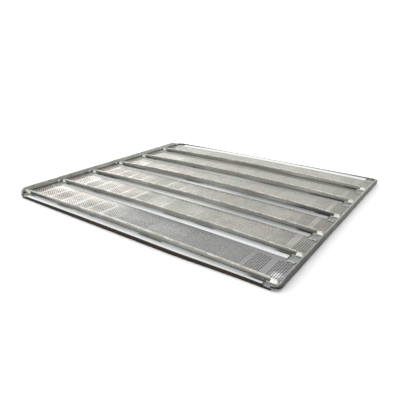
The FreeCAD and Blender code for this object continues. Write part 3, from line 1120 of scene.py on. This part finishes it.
def faceOutwards(piece, weld=0.0):
    # turns every face outwards, after welding points closer than weld metres
    shape = bmesh.new()
    shape.from_mesh(piece.data)
    if weld:
        bmesh.ops.remove_doubles(shape, verts=shape.verts, dist=weld)
    bmesh.ops.recalc_face_normals(shape, faces=shape.faces)
    shape.to_mesh(piece.data)
    shape.free()


def softenEdges(piece, width, segments=2):
    # a small rounding on every sharp edge
    faceOutwards(piece)
    edge = piece.modifiers.new("edge", "BEVEL")
    edge.width = width * mm
    edge.segments = segments
    edge.limit_method = "ANGLE"
    edge.angle_limit = math.radians(40)
    return settle(piece)


def buildBracket(side, place):
    node = f"bracket_{side}_{place}"
    sign = sides[side]
    low, high = boxOf(node)
    inner = min(abs(low.x), abs(high.x))
    outer = max(abs(low.x), abs(high.x)) - bracketWork["barGap"]
    front = low.y + (bracketWork["endGap"] if place == "front" else 0)
    back = high.y - (bracketWork["endGap"] if place == "back" else 0)
    bend = bracketWork["cornerRadius"]
    sharp = bracketWork["sharpRadius"]
    outline = roundedOutline([
        (inner, front, bracketWork["tongueRadius"]),
        (outer, front, bend if place == "front" else sharp),
        (outer, back, bend if place == "back" else sharp),
        (inner, back, bracketWork["heelRadius"]),
    ])
    plate = slab(
        "plate", outline,
        lambda point, up: (sign * point.x, point.y, low.z + up),
        folds["sheet"], "bracket",
    )
    flangeHalf = bracketWork["flangeHalf"]
    centre = {
        "front": low.y + bracketWork["endFlange"],
        "back": high.y + folds["sheet"] - bracketWork["endFlange"],
    }.get(place, high.y - bracketWork["flangeBack"])
    radius = bracketWork["flangeRadius"]
    flangeOutline = roundedOutline([
        (centre - flangeHalf, low.z + 0.2, 0.0),
        (centre + flangeHalf, low.z + 0.2, 0.0),
        (centre + flangeHalf, high.z, radius),
        (centre - flangeHalf, high.z, radius),
    ])
    inside = barHigh.x - barWork["thickness"] - folds["sheet"]
    flange = slab(
        "flange", flangeOutline,
        lambda point, up: (sign * (inside + up), point.x, point.y),
        folds["sheet"], "bracket",
    )
    pieces = [softenEdges(plate, bracketWork["edge"]), softenEdges(flange, bracketWork["edge"])]
    piece = joinPieces(f"barBracket.{side}.{place}", pieces)
    settleCorner(piece)
    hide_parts(node)
    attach(piece, "root")
    return piece


for sideName in sides:
    for placeName in ("front", "1", "2", "3", "4", "5", "back"):
        buildBracket(sideName, placeName)
print("brackets cut")


clipWork = {
    "stations": 13,
    "lobes": 3,            # scallops along the lower edge
    "lobeDepth": 0.55,
    "thickness": 1.1,
    "lean": 3.2,
    "foot": 5.6,
}


def evenStations(side, start, end, count):
    # places along X on one side of the tray
    return [sides[side] * (start + (end - start) * step / (count - 1)) for step in range(count)]


def ribbon(name, stations, pathAt, thickness, finishName, rounding=0.25):
    # a strip whose section may change from one station to the next; pathAt gives (y, z) points
    points = []
    faces = []
    rows = None
    for x in stations:
        line = pathAt(x)
        rows = len(line)
        points += [(x, y, z) for y, z in line]
    for number in range(len(stations) - 1):
        for row in range(rows - 1):
            here = number * rows + row
            faces.append([here, here + 1, here + rows + 1, here + rows])
    piece = makePiece(name, points, faces, [finishName])
    solid = piece.modifiers.new("thickness", "SOLIDIFY")
    solid.thickness = thickness * mm
    solid.offset = 0
    edge = piece.modifiers.new("edge", "BEVEL")
    edge.width = rounding * mm
    edge.segments = 2
    edge.limit_method = "ANGLE"
    edge.angle_limit = math.radians(50)
    return settle(piece, 45)


def buildClip(side, number):
    node = f"lip_clip_{side}_{number}"
    low, high = boxOf(node)
    half = clipWork["thickness"] / 2
    front = low.y + half
    floor = low.z + half + 0.05
    top = high.z - half - 0.1
    start = min(abs(low.x), abs(high.x)) + 0.15
    end = max(abs(low.x), abs(high.x)) - 0.15
    turn = random.uniform(0, 1)

    def section(x):
        part = (abs(x) - start) / (end - start)
        lobe = abs(math.sin(math.pi * clipWork["lobes"] * part + turn)) * clipWork["lobeDepth"]
        near = front + 0.35 - lobe * 0.6
        lean = clipWork["lean"]
        line = [(near + clipWork["foot"], floor), (near + 2.6, floor)]
        line += [(near + 1.0, floor + 0.15), (near + 0.3, floor + 0.8)]
        for up in (0.25, 0.5, 0.75):
            line.append((near + 0.35 + lean * up, floor + 0.9 + (top - floor - 1.6) * up))
        line += [(front + 0.2 + lean * 0.92, top - 0.3), (front + 0.3 + lean * 0.7, top)]
        return line

    stations = evenStations(side, start, end, clipWork["stations"])
    piece = ribbon(f"lipClip.{side}.{number}", stations, section, clipWork["thickness"], "clip")
    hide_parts(node)
    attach(piece, "root")
    return piece


hookWork = {
    "stations": 15,
    "raise": 1.5,          # height of the two knuckles
    "knuckles": (0.12, 0.88),      # where they stand along the hook
    "knuckleWidth": 0.13,
    "reach": 1.8,          # how far the middle stands back from the knuckles
    "length": 8.0,
    "overlap": 2.5,        # how far a hook reaches past the front line of its bracket
    "thickness": 1.0,
}


def buildHooks(side):
    node = f"pan_hooks_{side}"
    low, high = boxOf(node)
    start = min(abs(low.x), abs(high.x)) + 0.1
    end = max(abs(low.x), abs(high.x)) - 0.1
    stations = evenStations(side, start, end, hookWork["stations"])
    pieces = []
    for number in range(1, channelCount + 1):
        rear = firstLip + pitch * number - panWork["bracketFront"] + hookWork["overlap"]
        half = hookWork["thickness"] / 2
        base = low.z + half + 0.05

        def section(x):
            part = (abs(x) - start) / (end - start)
            knuckle = 0
            for place in hookWork["knuckles"]:
                knuckle += hookWork["raise"] * math.exp(-((part - place) / hookWork["knuckleWidth"]) ** 2)
            reach = hookWork["reach"] * math.exp(-((part - 0.5) / 0.22) ** 2)
            front = rear - hookWork["length"] + 0.6 + reach
            back = rear - 0.2
            return [
                (front, base),
                (front + 0.5, base + 0.55 * knuckle),
                (front + 1.6, base + knuckle),
                (front + 3.2, base + 0.8 * knuckle),
                (front + (back - front) * 0.7, base + 0.2 * knuckle),
                (back, base),
            ]

        pieces.append(ribbon(f"hook{number}", stations, section, hookWork["thickness"], "hook"))
    piece = joinPieces(f"panHooks.{side}", pieces)
    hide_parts(node)
    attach(piece, "root")
    return piece


def ringFaces(rings, count):
    # faces between closed rings of count points each
    faces = []
    for ring in range(rings - 1):
        for turn in range(count):
            following = (turn + 1) % count
            faces.append([
                ring * count + turn,
                ring * count + following,
                (ring + 1) * count + following,
                (ring + 1) * count + turn,
            ])
    return faces


rivetWork = {
    "turns": 20,
    "head": 3.0,
    "shank": 1.6,
    "height": 10.0,
    "beforeLip": 6,        # how far in front of a lip its rivet stands
    "dome": [(0.0, 1.0), (0.35, 0.97), (0.65, 0.85), (0.9, 0.55), (1.0, 0.12), (0.97, 0.0)],
}


def buildRivets(side):
    # domed heads on the flanges, shanks through to the bar's outer face
    node = f"bar_rivets_{side}"
    low, high = boxOf(node)
    sign = sides[side]
    outer = max(abs(low.x), abs(high.x)) - 0.02
    inner = min(abs(low.x), abs(high.x))
    seat = barHigh.x - barWork["thickness"] - folds["sheet"]
    places = [railLow.y + bracketWork["endFlange"], upstandHigh.y - bracketWork["endFlange"]]
    for number in range(1, channelCount):
        places.append(firstLip + pitch * number - rivetWork["beforeLip"])
    turns = rivetWork["turns"]
    pieces = []
    for number, along in enumerate(places):
        profile = []
        for out, up in rivetWork["dome"]:
            profile.append((inner + (seat - inner) * (1 - up), rivetWork["head"] * out))
        shank = rivetWork["shank"]
        profile += [(seat, shank), (outer - 0.1, shank), (outer, shank * 0.9), (outer - 0.25, 0.0)]
        points = []
        for across, out in profile:
            for turn in range(turns):
                angle = 2 * math.pi * turn / turns
                points.append((
                    sign * across,
                    along + out * math.cos(angle),
                    rivetWork["height"] + out * math.sin(angle),
                ))
        rivet = makePiece(f"rivet{number}", points, ringFaces(len(profile), turns), ["rivet"])
        faceOutwards(rivet, 0.00001)
        pieces.append(rivet)
    piece = joinPieces(f"barRivets.{side}", pieces)
    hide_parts(node)
    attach(piece, "root")
    return piece


for sideName in sides:
    for clipNumber in range(1, channelCount + 1):
        buildClip(sideName, clipNumber)
    buildHooks(sideName)
    buildRivets(sideName)
print("clips, hooks and rivets set")


def barTop(side, y):
    # the bar's top at y: level, coming down in arcs at both ends
    front = y - railLow.y
    back = upstandHigh.y - y
    length = barWork["frontTaper"][side]
    drop = barHigh.z - barWork["frontEnd"]
    radius = (length ** 2 + drop ** 2) / (2 * drop)
    inside = max(0.0, length - max(front, 0.0))
    frontTop = barHigh.z - radius + math.sqrt(radius ** 2 - inside ** 2)
    length = barWork["backTaper"]
    drop = barHigh.z - barWork["backEnd"]
    radius = (length ** 2 + drop ** 2) / (2 * drop)
    inside = min(max(back, 0.0), length)
    backTop = barWork["backEnd"] + radius - math.sqrt(radius ** 2 - inside ** 2)
    if back >= length:
        backTop = barHigh.z
    return min(frontTop, backTop, barHigh.z)


def barBend(centreX, centreY, radius, start):
    # a quarter turn of the bar's middle line from start degrees on, with the direction across it
    stations = []
    for step in range(barWork["bendSteps"] + 1):
        angle = math.radians(start + 90 * step / barWork["bendSteps"])
        across = (math.cos(angle), math.sin(angle))
        stations.append((centreX + radius * across[0], centreY + radius * across[1], across))
    return stations


def barPath():
    # plan of the right-hand bar's middle line with the direction across it
    bend = barWork["bendRadius"]
    radius = bend - barWork["thickness"] / 2
    centreX = barHigh.x - bend
    straight = barHigh.y - barLow.y - 2 * bend
    count = barWork["straightSteps"]
    stations = barBend(centreX, barLow.y + bend, radius, -90)
    for step in range(1, count):
        stations.append((centreX + radius, barLow.y + bend + straight * step / count, (1.0, 0.0)))
    return stations + barBend(centreX, barHigh.y - bend, radius, 0)


def buildSideBar(side):
    sign = sides[side]
    half = barWork["thickness"] / 2
    edge = barWork["edge"]
    ripple = waves(4, 0.25)
    points = []
    stations = barPath()
    for x, y, across in stations:
        top = barTop(side, y)
        ring = []
        corners = ((half, barLow.z, 270), (half, top, 0), (-half, top, 90), (-half, barLow.z, 180))
        for out, level, turn in corners:
            centreOut = out - math.copysign(edge, out)
            centreUp = level + (edge if level == barLow.z else -edge)
            for step in range(barWork["edgeSteps"] + 1):
                angle = math.radians(turn + 90 * step / barWork["edgeSteps"])
                ring.append((centreOut + edge * math.cos(angle), centreUp + edge * math.sin(angle)))
        straightness = max(0.0, 1 - (y / (barHigh.y - barWork["bendRadius"])) ** 6)
        wander = min(0.0, ripple(y * 2, 0)) * straightness
        for out, up in ring:
            points.append((
                sign * (x + out * across[0] + wander),
                y + out * across[1],
                up,
            ))
    size = len(ring)
    # slot 1, the outer face, takes painted shade; slot 2, the rounded inner top edge, a painted highlight
    slots = []
    perCorner = barWork["edgeSteps"] + 1
    for _ in range(len(stations) - 1):
        for corner in range(size):
            if corner < perCorner + 1:
                slots.append(1)
            elif 2 * perCorner <= corner < 3 * perCorner - 1:
                slots.append(2)
            else:
                slots.append(0)
    faces = ringFaces(len(stations), size)
    faces.append(list(range(size)))
    last = (len(stations) - 1) * size
    faces.append(list(range(last, last + size))[::-1])
    slots += [1, 1]
    piece = makePiece(f"sideBar.{side}", points, faces, ["bar", "shadedOuterBar", "highlitEdgeBar"], slots)
    faceOutwards(piece)
    settle(piece)
    settleCorner(piece)
    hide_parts(f"side_bar_{side}")
    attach(piece, "root")
    return piece


for sideName in sides:
    buildSideBar(sideName)
print("side bars bent")


studio = {
    "sky": 1.25,
    "floor": (0.86, 0.86, 0.86),
    "floorHalf": 9,
    "windowPlace": (-2.6, 1.6, 1.25),
    "windowSize": (2.2, 1.6),
    "windowPower": 45,
    "topPlace": (0.2, -0.3, 2.2),
    "topSize": (2.4, 2.4),
    "topPower": 8,
}
cameraView = {
    "place": (0.5245, -0.7718, 0.3490),
    "turn": (67.94, -0.33, 35.59),
    "lens": 35.38,
}


def buildFloor():
    f = Finish("studioFloor")
    mottle = f.noise(1.2, 2.0)
    colour = f.mix(mottle, studio["floor"], tuple(part * 1.02 for part in studio["floor"]))
    f.set(colour=colour, roughness=0.8)
    mesh = bpy.data.meshes.new("studioFloor")
    half = studio["floorHalf"]
    corners = [(-half, -half, 0), (half, -half, 0), (half, half, 0), (-half, half, 0)]
    mesh.from_pydata(corners, [], [[0, 1, 2, 3]])
    mesh.materials.append(f.material)
    floor = bpy.data.objects.new("studioFloor", mesh)
    bpy.context.scene.collection.objects.link(floor)
    floor.location.z = cadLow.z - 0.0002


def softLight(name, place, size, power, aim=(0, 0, 0)):
    data = bpy.data.lights.new(name, "AREA")
    data.shape = "RECTANGLE"
    data.size, data.size_y = size
    data.energy = power
    light = bpy.data.objects.new(name, data)
    bpy.context.scene.collection.objects.link(light)
    light.location = place
    light.rotation_mode = "QUATERNION"
    light.rotation_quaternion = (Vector(aim) - Vector(place)).to_track_quat("-Z", "Y")
    light.visible_camera = False
    return light


buildFloor()
softLight("windowLight", studio["windowPlace"], studio["windowSize"], studio["windowPower"])
softLight("topLight", studio["topPlace"], studio["topSize"], studio["topPower"])
world = bpy.data.worlds.new("studioSky")
world.use_nodes = True
world.node_tree.nodes["Background"].inputs["Color"].default_value = (1, 1, 1, 1)
world.node_tree.nodes["Background"].inputs["Strength"].default_value = studio["sky"]
bpy.context.scene.world = world
bpy.context.scene.view_settings.view_transform = "Standard"

cameraData = bpy.data.cameras.new("camera")
cameraData.lens = cameraView["lens"]
camera = bpy.data.objects.new("camera", cameraData)
bpy.context.scene.collection.objects.link(camera)
camera.location = cameraView["place"]
camera.rotation_euler = [math.radians(angle) for angle in cameraView["turn"]]
bpy.context.scene.camera = camera
print("studio set")
